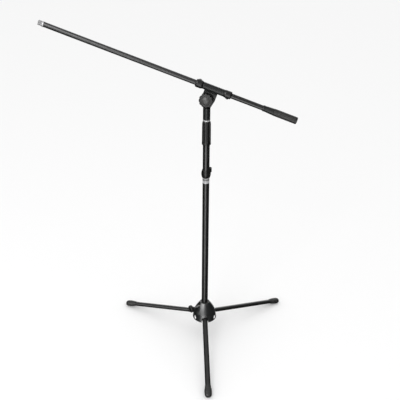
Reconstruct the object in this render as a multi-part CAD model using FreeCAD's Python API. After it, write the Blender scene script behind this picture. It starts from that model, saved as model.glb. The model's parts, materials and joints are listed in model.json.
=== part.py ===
import FreeCAD, Part
import math
import os

V = FreeCAD.Vector

# Boom microphone stand, millimetres. The origin is on the floor under the pole's axis.
# +Z is up, -Y runs along the front leg and +X is the counterweight's side.
# The pieces above the height clutch are built with the boom over the X axis, and are then turned
# together by SWIVEL_TURN.
# Threads are modelled as plain cylinders at their outside diameter.

# ---- pole ----
POLE_R = 11.0
POLE_WALL = 1.5
POLE_BOTTOM = 76.0
POLE_TOP = 790.0
RUN = 0.08              # radial gap of a piece that slides or turns on a tube
PIN_RUN = 0.05          # radial gap of a screw or pin that turns in its bore
SEAT = 0.02             # gap between pieces that are pressed together
LABEL_BOTTOM = 612.0
LABEL_TOP = 630.5
LABEL_T = 0.2
CLIP_RUN = 0.27         # radial gap that lets the clip pass over the label
CLIP_BOTTOM = 631.5
CLIP_TOP = 662.0
CLIP_R = 15.4
CLIP_SPLIT_AZ = 130.0
EAR_R = 5.2
EAR_REACH = 19.5
EAR_AZ = 24.0
EAR_LEN = 15.0

# ---- height clutch ----
GRIP_BOTTOM = 747.0
GRIP_TOP = 826.0
GRIP_R_LOW = 14.3
GRIP_R_TOP = 13.5
GRIP_FLUTES = 10
GRIP_FLUTE_R = 2.6
BODY_R = 12.5
COLLET_BOTTOM = 797.0
COLLET_TOP = 819.0
COLLET_R = 11.2
COLLET_R_TOP = 9.7
GUIDE_GAP = 0.25        # radial gap where the clutch only guides the upper tube

# ---- upper tube and swivel base ----
UPPER_R = 8.0
UPPER_WALL = 1.0
UPPER_BOTTOM = 190.0
UPPER_TOP = 858.0
RING_R = 11.8
NECK_R = 11.4
NECK_BOTTOM = 831.0
SHOULDER_Z = 870.0
BUSH_LEN = 30.0
STUD_R = 5.0

# ---- tilt joint ----
SWIVEL_TURN = -9.0      # how far the swivel stands turned about the pole
PIVOT_Z = 898.5
TILT_DEG = 19.15        # the microphone end points up by this much
TONGUE_R = 18.4
TONGUE_FRONT = 0.6
TONGUE_BACK = 10.5
BOLT_R = 4.0
CHEEK_R = 20.0
CHEEK_FRONT = -11.0
CHEEK_BACK = -0.5
WASHER_R = 17.0
KNOB_WASHER_R = 9.5
BOLT_HEAD_R = 7.5
KNOB_R = 22.5
KNOB_BACK = -12.2
KNOB_FRONT = -23.0
KNOB_LOBES = 12
KNOB_INSERT_R = 6.0
CAP_R = 13.4

# ---- boom holder, in boom coordinates: u along the boom, v square to it, both from the tilt pivot ----
BOOM_V = 35.5
SLEEVE_R = 10.7
SLEEVE_U0 = -24.1
SLEEVE_U1 = 42.5
HOLDER_U0 = -47.6
HOLDER_U1 = 66.0
HOLDER_END_R = 9.6
BRACKET_U0 = -16.4
BRACKET_U1 = 25.0
FLANGE_LOW = 21.5
FLANGE_T = 3.7
CHEEK_TAPER_V = 5.0     # below this the cheek's right edge slants in
CHEEK_LOW_U = 21.0      # to here
FRONT_COLLAR_R = 12.6
REAR_COLLAR_R = 11.9
COLLAR_LEN = 23.0
LUG_R = 7.0

# ---- boom ----
BOOM_R = 7.9
BOOM_WALL = 1.2
THREAD_U0 = -542.8
THREAD_LEN = 13.0
THREAD_R = 7.94         # outside of a 5/8 inch thread
THREAD_BORE_R = 3.2
RING_LEN = 4.7
BOOM_TUBE_U0 = THREAD_U0 + THREAD_LEN + RING_LEN
BOOM_TUBE_U1 = 201.7
NOSE_U0 = 167.5
NOSE_U1 = 202.7
WEIGHT_U1 = 277.1
WEIGHT_R = 11.0
WEIGHT_CORE_R = 9.6
WEIGHT_CAP_T = 6.0

# ---- hub ----
HUB_BOTTOM = 72.0
HUB_BOTTOM_R = 42.0
CREASE_Z = 99.0
CREASE_R = 38.2
HUB_TOP = 136.0
HUB_TOP_R = 16.0
DOME_BULGE = 1.6
HUB_WALL = 2.6
BOSS_BORE_R = 13.1
BOSS_R = 16.0
BOSS_BOTTOM = 104.0
BUSHING_LOWER = (104.5, 112.5)
BUSHING_UPPER = (129.8, 135.3)
SIDE_HOLE_R = 6.4
SIDE_HOLE_Z = 81.0
ARCH_HALF = 11.3
ARCH_TOP = 90.5
ARCH_INNER_X = 33.0     # the arches cut only the skirt, outside this distance from the axis
SCREW_Z = 124.5
SCREW_AZ = 210.0
SCREW_R = 3.0
SCREW_TIP = 15.05
SCREW_END = 59.0
SCREW_BOSS_R = 6.6
INSERT_R = 5.0
INSERT_END = 20.5       # the insert stays inside the dome, which slopes back above it
SCREW_KNOB_BACK = 51.5
SCREW_KNOB_FRONT = 61.0
SCREW_KNOB_R = 12.8
SCREW_KNOB_FLUTES = 10

# ---- legs ----
LEG_AZ = {"front": -90.0, "right": 30.0, "left": 150.0}
HINGE_R = 26.0
HINGE_Z = 84.0
FOOT_R = 332.0          # where the tip of each foot stands, from the pole's axis
FOOT_AXIS_Z = 6.7       # height of a leg's axis at its tip
LEG_W = 18.0
LEG_H = 14.0
LEG_WALL = 1.3
KNUCKLE_R = 8.6
KNUCKLE_HALF = 9.3
NECK_HALF = 5.8
LUG_T = 3.4
LUG_GAP = 0.3
HINGE_PIN_R = 3.0
TUBE_START = 13.0       # the leg tube starts this far from its hinge
TUBE_SHORT = 12.0       # and ends this far short of the foot's tip
BOOT_LEN = 40.0
BOOT_SECTIONS = [       # width, height and distance from the boot's upper end
    (19.6, 15.6, 0.0),
    (20.4, 16.2, 6.0),
    (23.0, 17.6, 14.0),
    (24.6, 18.4, 22.0),
    (23.4, 18.0, 31.0),
    (16.6, 16.0, BOOT_LEN),
]

LEG_SLOPE = math.degrees(math.atan2(HINGE_Z - FOOT_AXIS_Z, FOOT_R - HINGE_R))
LEG_LEN = math.hypot(HINGE_Z - FOOT_AXIS_Z, FOOT_R - HINGE_R)


# ---- shared helpers ----

def revolved(points):
    """A solid of revolution about Z from (r, z) points, as a closed outline."""
    corners = [V(r, 0, z) for r, z in points]
    wire = Part.makePolygon(corners + [corners[0]])
    return Part.Face(wire).revolve(V(0, 0, 0), V(0, 0, 1), 360)


def ring(inner, outer, low, high):
    """A plain ring about Z."""
    return revolved([(inner, low), (outer, low), (outer, high), (inner, high)])


def box(x0, x1, y0, y1, z0, z1):
    return Part.makeBox(x1 - x0, y1 - y0, z1 - z0, V(x0, y0, z0))


def turned_about_z(shape, degrees):
    out = shape.copy()
    out.rotate(V(0, 0, 0), V(0, 0, 1), degrees)
    return out


def around(shape, count, first=0.0):
    """Copies of a shape spaced evenly about Z."""
    return [turned_about_z(shape, first + 360.0 * i / count) for i in range(count)]


def fused(shapes):
    return shapes[0].multiFuse(shapes[1:]).removeSplitter()


def fluted(shape, count, radius, at, low, high, first=0.0):
    """Cuts evenly spaced round flutes into the outside of a shape that stands on Z."""
    flute = Part.makeCylinder(radius, high - low, V(at, 0, low))
    return shape.cut(Part.makeCompound(around(flute, count, first)))


def along(shape, direction, start):
    """Moves a shape that was built along +Z from the origin to run along a direction from a point."""
    out = shape.copy()
    out.Placement = FreeCAD.Placement(start, FreeCAD.Rotation(V(0, 0, 1), direction))
    return out


def in_boom(shape):
    """Moves a shape from boom coordinates (x = u, z = v, from the pivot) to its place on the stand."""
    out = shape.copy()
    out.rotate(V(0, 0, 0), V(0, 1, 0), TILT_DEG)
    out.translate(V(0, 0, PIVOT_Z))
    return out


def on_boom(points):
    """A solid of revolution about the boom's axis, from (r, u) points."""
    out = revolved(points)
    out.rotate(V(0, 0, 0), V(0, 1, 0), 90)
    out.translate(V(0, 0, BOOM_V))
    return in_boom(out)


def in_leg(shape, azimuth):
    """Moves a shape from leg coordinates (x along the leg from its hinge) to its place on the stand."""
    out = shape.copy()
    out.rotate(V(0, 0, 0), V(0, 1, 0), LEG_SLOPE)
    out.translate(V(HINGE_R, 0, HINGE_Z))
    return turned_about_z(out, azimuth)


def rounded_slab(outline, y0, y1):
    """A slab square to Y from an outline of edges in the XZ plane at y = 0."""
    face = Part.Face(Part.Wire(Part.__sortEdges__(outline)))
    slab = face.extrude(V(0, y1 - y0, 0))
    slab.translate(V(0, y0, 0))
    return slab


# ---- hub ----

def hub_outline(inset):
    """The hub's outer surface of revolution, or its inner one when inset, as (outline edges, top z)."""
    low = V(HUB_BOTTOM_R - inset, 0, HUB_BOTTOM)
    crease = V(CREASE_R - inset, 0, CREASE_Z)
    top = V(HUB_TOP_R - inset * 0.6, 0, HUB_TOP - inset)
    middle = (crease + top) * 0.5
    across = V(top.z - crease.z, 0, crease.x - top.x)
    across.normalize()
    middle = middle + across * DOME_BULGE
    edges = [
        Part.LineSegment(V(0, 0, HUB_BOTTOM), low).toShape(),
        Part.LineSegment(low, crease).toShape(),
        Part.Arc(crease, middle, top).toShape(),
        Part.LineSegment(top, V(0, 0, top.z)).toShape(),
        Part.LineSegment(V(0, 0, top.z), V(0, 0, HUB_BOTTOM)).toShape(),
    ]
    return Part.Face(Part.Wire(edges)).revolve(V(0, 0, 0), V(0, 0, 1), 360)


def hub_lugs(azimuth):
    """A pair of lugs inside the skirt for one leg's hinge pin."""
    inner = KNUCKLE_HALF + LUG_GAP
    outer = inner + LUG_T
    low = HUB_BOTTOM + 0.5
    near = BOSS_R + 1.5
    lugs = [
        box(near, HUB_BOTTOM_R, inner, outer, low, HUB_TOP),
        box(near, HUB_BOTTOM_R, -outer, -inner, low, HUB_TOP),
    ]
    return [turned_about_z(lug, azimuth) for lug in lugs]


def hub_arch():
    """The space of an arched opening in the skirt that a leg comes out of, on the +X side."""
    crown_rise = ARCH_HALF * 0.5
    spring_z = ARCH_TOP - crown_rise
    sides = box(ARCH_INNER_X, HUB_BOTTOM_R + 5.0, -ARCH_HALF, ARCH_HALF, 0, spring_z)
    crown = Part.makeCylinder(1.0, 30.0, V(ARCH_INNER_X, 0, 0), V(1, 0, 0))
    stretch = FreeCAD.Matrix()
    stretch.scale(1.0, ARCH_HALF, crown_rise)
    crown = crown.transformGeometry(stretch)
    crown.translate(V(0, 0, spring_z))
    return [sides, crown]


def hub_housing():
    """The die-cast shell, with a boss for the pole, a boss for the thumbscrew and lugs for the legs."""
    outer = hub_outline(0.0)
    shell = outer.cut(hub_outline(HUB_WALL))
    screw_boss = along(Part.makeCylinder(SCREW_BOSS_R, 20.0), V(1, 0, 0), V(8.0, 0, SCREW_Z))
    inside = [ring(0.0, BOSS_R, BOSS_BOTTOM, HUB_TOP), turned_about_z(screw_boss, SCREW_AZ)]
    insert_hole = Part.makeCylinder(INSERT_R, 40.0, V(0, 0, SCREW_Z), V(1, 0, 0))
    cuts = [Part.makeCylinder(BOSS_BORE_R, HUB_TOP), turned_about_z(insert_hole, SCREW_AZ)]
    pin_hole = Part.makeCylinder(HINGE_PIN_R + SEAT, 30.0, V(HINGE_R, -15.0, HINGE_Z), V(0, 1, 0))
    side_hole = Part.makeCylinder(SIDE_HOLE_R, 30.0, V(HINGE_R, 0, SIDE_HOLE_Z), V(1, 0, 0))
    for azimuth in LEG_AZ.values():
        inside += hub_lugs(azimuth)
        cuts += [turned_about_z(piece, azimuth) for piece in hub_arch() + [pin_hole]]
        cuts.append(turned_about_z(side_hole, azimuth + 60.0))
    body = fused([shell] + [piece.common(outer) for piece in inside])
    body = body.cut(Part.makeCompound(cuts))
    return max(body.Solids, key=lambda solid: solid.Volume)


def hub_bushing(low, high):
    """A plastic ring pressed in the hub's bore that slides on the pole."""
    return ring(POLE_R + RUN, BOSS_BORE_R - SEAT, low, high)


def leg_hinge_pins():
    half = KNUCKLE_HALF + LUG_GAP + LUG_T
    pin = Part.makeCylinder(HINGE_PIN_R, 2 * half, V(HINGE_R, -half, HINGE_Z), V(0, 1, 0))
    return Part.makeCompound([turned_about_z(pin, az) for az in LEG_AZ.values()])


def on_screw(points):
    """A solid of revolution about the thumbscrew's axis, from (r, distance from the pole's axis)."""
    out = along(revolved(points), V(1, 0, 0), V(0, 0, SCREW_Z))
    return turned_about_z(out, SCREW_AZ)


def thumbscrew_insert():
    """A threaded ring in the hub's wall that the thumbscrew runs in."""
    bore = SCREW_R + PIN_RUN
    outside = INSERT_R - SEAT
    start = BOSS_BORE_R + 0.3
    return on_screw([(bore, start), (outside, start), (outside, INSERT_END), (bore, INSERT_END)])


def thumbscrew_pad():
    """A plug at the tip of the thumbscrew that presses on the pole."""
    radius = SCREW_R - 0.1
    face = POLE_R + 0.06
    back = SCREW_TIP - PIN_RUN
    return on_screw([(0, face), (radius - 0.5, face), (radius, face + 0.5), (radius, back), (0, back)])


def thumbscrew_shank():
    return on_screw([
        (0, SCREW_TIP),
        (SCREW_R - 0.5, SCREW_TIP),
        (SCREW_R, SCREW_TIP + 0.55),
        (SCREW_R, SCREW_END),
        (0, SCREW_END),
    ])


def thumbscrew_knob():
    """The moulded knob on the thumbscrew: a short hub behind, a fluted rim and a low crowned face."""
    back = SCREW_KNOB_BACK
    front = SCREW_KNOB_FRONT
    outline = [
        (SCREW_R + SEAT, back - 5.0),
        (5.6, back - 5.0),
        (6.2, back - 0.6),
        (SCREW_KNOB_R - 1.4, back),
        (SCREW_KNOB_R, back + 1.4),
        (SCREW_KNOB_R, front - 1.6),
        (SCREW_KNOB_R - 1.6, front),
        (7.0, front + 1.3),
        (0, front + 1.7),
        (0, SCREW_END + PIN_RUN),
        (SCREW_R + SEAT, SCREW_END + PIN_RUN),
    ]
    knob = fluted(revolved(outline), SCREW_KNOB_FLUTES, 2.4, SCREW_KNOB_R + 1.0, back - 1, front + 2)
    return turned_about_z(along(knob, V(1, 0, 0), V(0, 0, SCREW_Z)), SCREW_AZ)


# ---- legs, built along +X from the hinge ----

def oval(width, height, x):
    """A closed oval wire square to the leg's axis, `width` across and `height` high."""
    wide = width >= height
    across = V(x, width / 2, 0)
    up = V(x, 0, height / 2)
    ellipse = Part.Ellipse(across if wide else up, up if wide else across, V(x, 0, 0))
    return Part.Wire([ellipse.toShape()])


def oval_bar(width, height, x0, x1):
    """A solid oval bar along the leg."""
    return Part.Face(oval(width, height, x0)).extrude(V(x1 - x0, 0, 0))


def leg_tube():
    end = LEG_LEN - TUBE_SHORT
    outer = oval_bar(LEG_W, LEG_H, TUBE_START, end)
    return outer.cut(oval_bar(LEG_W - 2 * LEG_WALL, LEG_H - 2 * LEG_WALL, TUBE_START - 1, end + 1))


def leg_knuckle():
    """The plug in a leg's upper end, with the eye that its hinge pin goes through."""
    eye = Part.makeCylinder(KNUCKLE_R, 2 * KNUCKLE_HALF, V(0, -KNUCKLE_HALF, 0), V(0, 1, 0))
    neck = box(0, TUBE_START - 0.1, -KNUCKLE_HALF, KNUCKLE_HALF, -NECK_HALF, NECK_HALF)
    inner_w = LEG_W - 2 * LEG_WALL - 2 * SEAT
    inner_h = LEG_H - 2 * LEG_WALL - 2 * SEAT
    spigot = oval_bar(inner_w, inner_h, 10.0, 40.0)
    bore = Part.makeCylinder(HINGE_PIN_R + PIN_RUN, 40, V(0, -20, 0), V(0, 1, 0))
    return fused([eye, neck, spigot]).cut(bore)


def foot(azimuth):
    """A rubber boot: a sleeve that swells towards a blunt tip, cut flat where it stands."""
    start = LEG_LEN - BOOT_LEN
    body = Part.makeLoft([oval(w, h, start + x) for w, h, x in BOOT_SECTIONS], True, False)
    hole = oval_bar(LEG_W + 2 * SEAT, LEG_H + 2 * SEAT, start - 1, LEG_LEN - TUBE_SHORT + 0.05)
    body = in_leg(body.cut(hole), azimuth)
    return body.cut(box(-500, 500, -500, 500, -60, 0))


# ---- pole ----

def lower_tube():
    return ring(POLE_R - POLE_WALL, POLE_R, POLE_BOTTOM, POLE_TOP)


def lower_tube_plug():
    bore = POLE_R - POLE_WALL - SEAT
    return revolved([
        (0, POLE_BOTTOM - 4.0),
        (POLE_R - 1.5, POLE_BOTTOM - 4.0),
        (POLE_R, POLE_BOTTOM - 2.5),
        (POLE_R, POLE_BOTTOM - SEAT),
        (bore, POLE_BOTTOM - SEAT),
        (bore, POLE_BOTTOM + 18.0),
        (bore - 1.0, POLE_BOTTOM + 19.0),
        (0, POLE_BOTTOM + 19.0),
    ])


def label_band():
    return ring(POLE_R + SEAT, POLE_R + SEAT + LABEL_T, LABEL_BOTTOM, LABEL_TOP)


def cable_clip():
    """A bowl-shaped ring that snaps on the tube, with a split at the back and an ear for the cable."""
    bore = POLE_R + CLIP_RUN
    bowl = revolved([
        (bore, CLIP_BOTTOM),
        (bore + 1.6, CLIP_BOTTOM),
        (CLIP_R - 0.9, CLIP_BOTTOM + 5.5),
        (CLIP_R, CLIP_BOTTOM + 11.0),
        (CLIP_R - 0.2, CLIP_BOTTOM + 17.0),
        (CLIP_R - 1.6, CLIP_BOTTOM + 22.5),
        (bore + 1.4, CLIP_TOP - 4.0),
        (bore + 1.0, CLIP_TOP - 3.2),
        (bore, CLIP_TOP - 3.2),
    ])
    ear = Part.makeCylinder(EAR_R, EAR_LEN, V(EAR_REACH - EAR_R, 0, CLIP_TOP - EAR_LEN))
    cable_hole = Part.makeCylinder(EAR_R - 2.0, EAR_LEN + 5, V(EAR_REACH - 4.6, 0, CLIP_TOP - EAR_LEN - 2))
    ear = turned_about_z(ear.cut(cable_hole), EAR_AZ)
    body = fused([bowl, ear])
    body = body.cut(Part.makeCylinder(bore, 60, V(0, 0, CLIP_BOTTOM - 10)))
    split = turned_about_z(box(5, 25, -1.6, 1.6, CLIP_BOTTOM - 5, CLIP_TOP + 5), CLIP_SPLIT_AZ)
    body = body.cut(split)
    return max(body.Solids, key=lambda solid: solid.Volume)


# ---- height clutch ----

def clutch_body():
    """The sleeve fixed on the top of the lower tube, whose upper end guides the upper tube."""
    return revolved([
        (POLE_R + SEAT, GRIP_BOTTOM + 4.0),
        (BODY_R, GRIP_BOTTOM + 4.0),
        (BODY_R, COLLET_BOTTOM - 0.3),
        (UPPER_R + GUIDE_GAP, COLLET_BOTTOM - 0.3),
        (UPPER_R + GUIDE_GAP, POLE_TOP + SEAT),
        (POLE_R + SEAT, POLE_TOP + SEAT),
    ])


def clutch_collet():
    """A split ring with a tapered outside that the grip squeezes on the upper tube."""
    body = revolved([
        (UPPER_R + 0.06, COLLET_BOTTOM),
        (COLLET_R, COLLET_BOTTOM),
        (COLLET_R, COLLET_BOTTOM + 6.0),
        (COLLET_R_TOP, COLLET_TOP),
        (UPPER_R + 0.06, COLLET_TOP),
    ])
    return body.cut(box(5, 15, -0.7, 0.7, COLLET_BOTTOM - 1, COLLET_TOP + 1))


def height_grip():
    """The fluted sleeve that is twisted to squeeze the collet, hollow over the clutch's body."""
    outer = [
        (GRIP_R_LOW - 0.7, GRIP_BOTTOM),
        (GRIP_R_LOW, GRIP_BOTTOM + 1.2),
        (GRIP_R_LOW - 0.1, GRIP_BOTTOM + 12.0),
        (GRIP_R_TOP, GRIP_TOP - 10.0),
        (GRIP_R_TOP - 0.7, GRIP_TOP - 4.0),
        (GRIP_R_TOP - 2.4, GRIP_TOP),
        (UPPER_R + 0.3, GRIP_TOP),
    ]
    inner = [
        (UPPER_R + 0.3, COLLET_TOP + 0.4),
        (COLLET_R_TOP + 0.15, COLLET_TOP + 0.4),
        (COLLET_R + 0.15, COLLET_BOTTOM + 6.3),
        (COLLET_R + 0.15, COLLET_BOTTOM + 0.2),
        (BODY_R + 0.1, COLLET_BOTTOM + 0.2),
        (BODY_R + 0.1, GRIP_BOTTOM + 3.0),
        (POLE_R + 0.25, GRIP_BOTTOM + 3.0),
        (POLE_R + 0.25, GRIP_BOTTOM),
    ]
    body = revolved(outer + inner)
    return fluted(body, GRIP_FLUTES, GRIP_FLUTE_R, GRIP_R_TOP + 1.9, GRIP_BOTTOM + 10.0, GRIP_TOP + 1, 18.0)


# ---- upper tube ----

def upper_tube():
    return ring(UPPER_R - UPPER_WALL, UPPER_R, UPPER_BOTTOM, UPPER_TOP)


def upper_tube_bush():
    """A plastic bush round the upper tube's lower end that runs in the lower tube."""
    outer = POLE_R - POLE_WALL - RUN
    top = UPPER_BOTTOM + BUSH_LEN
    return revolved([
        (UPPER_R + 0.06, UPPER_BOTTOM - 2.0),
        (outer - 0.5, UPPER_BOTTOM - 2.0),
        (outer, UPPER_BOTTOM),
        (outer, top),
        (UPPER_R + 0.06, top),
    ])


def upper_tube_stud():
    """A threaded plug in the top of the upper tube that the swivel base screws on."""
    bore = UPPER_R - UPPER_WALL - SEAT
    return revolved([
        (0, UPPER_TOP - 20.0),
        (bore, UPPER_TOP - 20.0),
        (bore, UPPER_TOP + SEAT),
        (STUD_R, UPPER_TOP + SEAT),
        (STUD_R, UPPER_TOP + 9.0),
        (STUD_R - 0.8, UPPER_TOP + 10.0),
        (0, UPPER_TOP + 10.0),
    ])


def swivel_ring():
    """The bright ring between the grip and the swivel's neck."""
    return revolved([
        (UPPER_R + SEAT, GRIP_TOP + 0.4),
        (RING_R - 0.6, GRIP_TOP + 0.4),
        (RING_R, GRIP_TOP + 1.0),
        (RING_R, NECK_BOTTOM - 0.6),
        (RING_R - 0.5, NECK_BOTTOM - 0.05),
        (UPPER_R + SEAT, NECK_BOTTOM - 0.05),
    ])


def swivel_base():
    """A round neck that narrows to a flat tongue behind the tilt joint's middle plane."""
    neck = revolved([
        (0, NECK_BOTTOM),
        (NECK_R - 0.5, NECK_BOTTOM),
        (NECK_R, NECK_BOTTOM + 0.6),
        (NECK_R, PIVOT_Z - 8.0),
        (0, PIVOT_Z - 8.0),
    ])
    front = box(-30, 30, -30, TONGUE_FRONT, SHOULDER_Z, PIVOT_Z + 30)
    slope = Part.makePolygon([
        V(-30, TONGUE_FRONT, SHOULDER_Z + 0.01),
        V(-30, -30, SHOULDER_Z + 0.01),
        V(-30, -30, SHOULDER_Z - 12.0),
        V(-30, TONGUE_FRONT, SHOULDER_Z + 0.01),
    ])
    slope = Part.Face(slope).extrude(V(60, 0, 0))
    tongue_t = TONGUE_BACK - TONGUE_FRONT
    tongue = Part.makeCylinder(TONGUE_R, tongue_t, V(0, TONGUE_FRONT, PIVOT_Z), V(0, 1, 0))
    web = box(-NECK_R, NECK_R, TONGUE_FRONT, TONGUE_BACK, SHOULDER_Z - 4, PIVOT_Z)
    body = fused([neck.cut(front).cut(slope), tongue, web])
    tube_hole = Part.makeCylinder(UPPER_R + SEAT, UPPER_TOP - NECK_BOTTOM + 1.3, V(0, 0, NECK_BOTTOM - 1))
    stud_hole = Part.makeCylinder(STUD_R + SEAT, 11.0, V(0, 0, UPPER_TOP))
    bolt_hole = Part.makeCylinder(BOLT_R + SEAT, 40, V(0, -20, PIVOT_Z), V(0, 1, 0))
    return body.cut(tube_hole).cut(stud_hole).cut(bolt_hole)


# ---- tilt joint, built along +Y through the pivot ----

def on_pivot(points):
    """A solid of revolution about the pivot's axis, from (r, y) points."""
    return along(revolved(points), V(0, 1, 0), V(0, 0, PIVOT_Z))


def friction_washer():
    """A rubber washer between the cheek and the tongue."""
    bore = BOLT_R + PIN_RUN
    front = CHEEK_BACK + 0.1
    back = TONGUE_FRONT - PIN_RUN
    return on_pivot([(bore, front), (WASHER_R, front), (WASHER_R, back), (bore, back)])


def pivot_bolt():
    """A bolt with a hexagonal head at the back; its thread ends inside the knob."""
    shank = on_pivot([(0, -25.0), (BOLT_R - 0.6, -25.0), (BOLT_R, -24.4), (BOLT_R, 10.6), (0, 10.6)])
    corners = []
    for i in range(7):
        angle = math.radians(60 * i)
        corners.append(V(BOLT_HEAD_R * math.cos(angle), 0, BOLT_HEAD_R * math.sin(angle)))
    head = Part.Face(Part.makePolygon(corners)).extrude(V(0, 5.3, 0))
    head.translate(V(0, TONGUE_BACK + 0.05, PIVOT_Z))
    return fused([shank, head])


def knob_washer():
    bore = BOLT_R + 0.1
    front = KNOB_BACK + 0.1
    back = CHEEK_FRONT - PIN_RUN
    return on_pivot([(bore, front), (KNOB_WASHER_R, front), (KNOB_WASHER_R, back), (bore, back)])


def tilt_knob():
    """The round lobed knob that clamps the tilt, with a recess in its face for the cap."""
    rim_back = KNOB_BACK - 1.8
    rim_front = KNOB_FRONT
    outline = [
        (KNOB_INSERT_R + SEAT, KNOB_BACK),
        (13.0, KNOB_BACK),
        (16.0, rim_back),
        (KNOB_R - 0.8, rim_back),
        (KNOB_R, rim_back - 1.0),
        (KNOB_R - 0.3, rim_front + 1.8),
        (KNOB_R - 2.0, rim_front),
        (CAP_R + 0.1, rim_front - 0.9),
        (CAP_R + 0.1, rim_front + 1.0),
        (KNOB_INSERT_R + SEAT, rim_front + 1.0),
    ]
    knob = revolved(outline)
    knob = fluted(knob, KNOB_LOBES, 2.7, KNOB_R + 1.2, rim_front - 3, rim_back + 1.0, 15.0)
    return along(knob, V(0, 1, 0), V(0, 0, PIVOT_Z))


def tilt_knob_insert():
    """The threaded brass bush that the knob turns on the bolt with."""
    bore = BOLT_R + PIN_RUN
    front = KNOB_FRONT + 1.1
    back = KNOB_BACK - 0.1
    return on_pivot([(bore, front), (KNOB_INSERT_R, front), (KNOB_INSERT_R, back), (bore, back)])


def tilt_knob_cap():
    """A shallow dome pressed in the knob's face, hollow behind for the end of the bolt."""
    back = KNOB_FRONT + 0.9
    return on_pivot([
        (5.0, back),
        (CAP_R, back),
        (CAP_R, back - 2.2),
        (CAP_R - 1.2, back - 4.1),
        (CAP_R - 4.4, back - 6.3),
        (5.0, back - 7.5),
        (0, back - 7.8),
        (0, back - 3.5),
        (5.0, back - 3.5),
    ])


# ---- boom holder ----

def cheek_outline():
    """The cheek: straight sides down from the flange, a round lower left and one rounded lower corner."""
    corner = 4.0
    bottom = -CHEEK_R
    drop = math.sqrt(CHEEK_R ** 2 - BRACKET_U0 ** 2)
    half_way = math.radians(270) - math.asin(-BRACKET_U0 / CHEEK_R) / 2
    diagonal = corner * math.sqrt(0.5)
    p_top_left = V(BRACKET_U0, 0, FLANGE_LOW + 1)
    p_left = V(BRACKET_U0, 0, -drop)
    p_round = V(CHEEK_R * math.cos(half_way), 0, CHEEK_R * math.sin(half_way))
    p_bottom = V(0, 0, bottom)
    p_corner_a = V(CHEEK_LOW_U - corner, 0, bottom)
    p_corner_m = V(CHEEK_LOW_U - corner + diagonal, 0, bottom + corner - diagonal)
    p_corner_b = V(CHEEK_LOW_U, 0, bottom + corner)
    p_taper = V(BRACKET_U1, 0, CHEEK_TAPER_V)
    p_top_right = V(BRACKET_U1, 0, FLANGE_LOW + 1)
    return [
        Part.LineSegment(p_top_left, p_left).toShape(),
        Part.Arc(p_left, p_round, p_bottom).toShape(),
        Part.LineSegment(p_bottom, p_corner_a).toShape(),
        Part.Arc(p_corner_a, p_corner_m, p_corner_b).toShape(),
        Part.LineSegment(p_corner_b, p_taper).toShape(),
        Part.LineSegment(p_taper, p_top_right).toShape(),
        Part.LineSegment(p_top_right, p_top_left).toShape(),
    ]


def boom_holder():
    """The sleeve round the boom, its web and flange, and the cheek of the tilt joint."""
    sleeve = on_boom([
        (0, HOLDER_U0 + 8.0),
        (HOLDER_END_R, HOLDER_U0 + 8.0),
        (HOLDER_END_R, SLEEVE_U0),
        (SLEEVE_R, SLEEVE_U0),
        (SLEEVE_R, SLEEVE_U1),
        (HOLDER_END_R, SLEEVE_U1),
        (HOLDER_END_R, HOLDER_U1 - 8.0),
        (0, HOLDER_U1 - 8.0),
    ])
    web = box(BRACKET_U0 + 1, BRACKET_U1 - 1, -7.0, 7.0, FLANGE_LOW + 1, BOOM_V)
    flange = box(BRACKET_U0, BRACKET_U1, -13.0, 10.0, FLANGE_LOW, FLANGE_LOW + FLANGE_T)
    corners = [edge for edge in flange.Edges
               if abs(edge.Vertexes[0].Z - edge.Vertexes[-1].Z) > FLANGE_T / 2]
    flange = flange.makeFillet(3.0, corners)
    cheek = rounded_slab(cheek_outline(), CHEEK_FRONT, CHEEK_BACK)
    body = fused([sleeve] + [in_boom(piece) for piece in (web, flange, cheek)])
    bore = on_boom([(0, HOLDER_U0), (BOOM_R + 0.3, HOLDER_U0), (BOOM_R + 0.3, HOLDER_U1), (0, HOLDER_U1)])
    bolt_hole = Part.makeCylinder(BOLT_R + 0.08, 60, V(0, -30, PIVOT_Z), V(0, 1, 0))
    return body.cut(bore).cut(bolt_hole)


def boom_collet(end, into):
    """A split cone round the boom; `end` is the holder's end and `into` points back into the holder."""
    points = [
        (BOOM_R + 0.06, end + into * 1.9),
        (8.9, end + into * 1.9),
        (9.4, end + into * 6.0),
        (9.4, end + into * 7.8),
        (BOOM_R + 0.06, end + into * 7.8),
    ]
    slot = box(min(end, end + into * 9), max(end, end + into * 9), -0.6, 0.6, BOOM_V, BOOM_V + 12)
    return on_boom(points).cut(in_boom(slot))


def boom_collar(end, into, radius, lug_v):
    """A threaded collar on one end of the holder, with a lug on one side to turn it by."""
    outline = [
        (BOOM_R + 0.35, end),
        (radius - 2.2, end),
        (radius - 0.5, end + into * 1.6),
        (radius, end + into * 4.0),
        (radius, end + into * (COLLAR_LEN - 5.0)),
        (SLEEVE_R + 0.3, end + into * COLLAR_LEN),
        (HOLDER_END_R + 0.08, end + into * COLLAR_LEN),
        (HOLDER_END_R + 0.08, end + into * 6.4),
        (9.0, end + into * 1.7),
        (BOOM_R + 0.35, end + into * 1.7),
    ]
    middle = end + into * COLLAR_LEN * 0.45
    lug_at = V(middle, -LUG_R / 2, BOOM_V + lug_v * (radius - 4.4))
    lug = in_boom(Part.makeCylinder(LUG_R, LUG_R, lug_at, V(0, 1, 0)))
    core_r = radius - 0.5
    far = end + into * (COLLAR_LEN + 1)
    core = on_boom([(0, end - into), (core_r, end - into), (core_r, far), (0, far)])
    return fused([on_boom(outline), lug.cut(core)])


# ---- boom ----

def boom_tube():
    inner = BOOM_R - BOOM_WALL
    return on_boom([(inner, BOOM_TUBE_U0), (BOOM_R, BOOM_TUBE_U0), (BOOM_R, BOOM_TUBE_U1),
                    (inner, BOOM_TUBE_U1)])


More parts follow.
